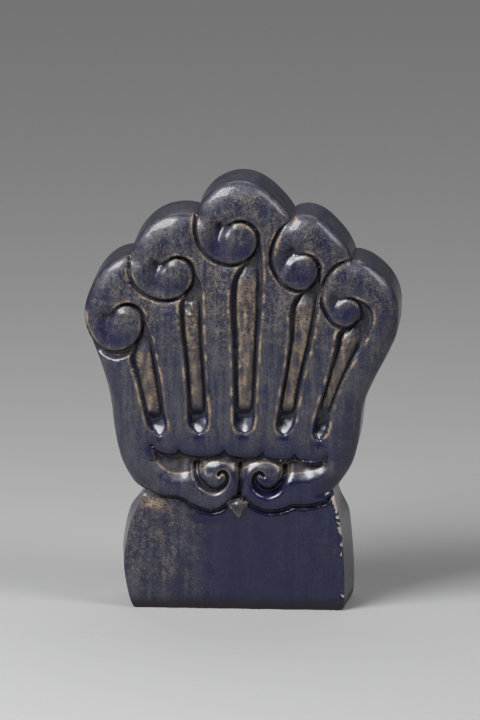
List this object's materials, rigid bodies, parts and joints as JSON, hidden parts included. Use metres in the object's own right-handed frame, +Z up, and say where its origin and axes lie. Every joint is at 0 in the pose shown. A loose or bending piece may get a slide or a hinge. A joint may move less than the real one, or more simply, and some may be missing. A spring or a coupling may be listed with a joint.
{
  "type": "roof ornament",
  "caption": "Upright glazed clay ridge ornament: a fan of curled clouds and fluted petals over two small volutes, standing on a plain block.",
  "frame": {"origin": "middle of the bounding box in plan, at the level of the underside it stands on", "axes": "+Z up, +X to the right of someone facing the carved front, and the carved front faces -Y"},
  "size_m": [0.1728, 0.0438, 0.24],
  "materials": {
    "blue_glaze": "semi-gloss dark cobalt glaze, thin and greyish tan over edges and ribs, pooled darker in the hollows"
  },
  "bodies": {
    "root": {"roof_ornament": "blue_glaze"}
  },
  "joints": []
}
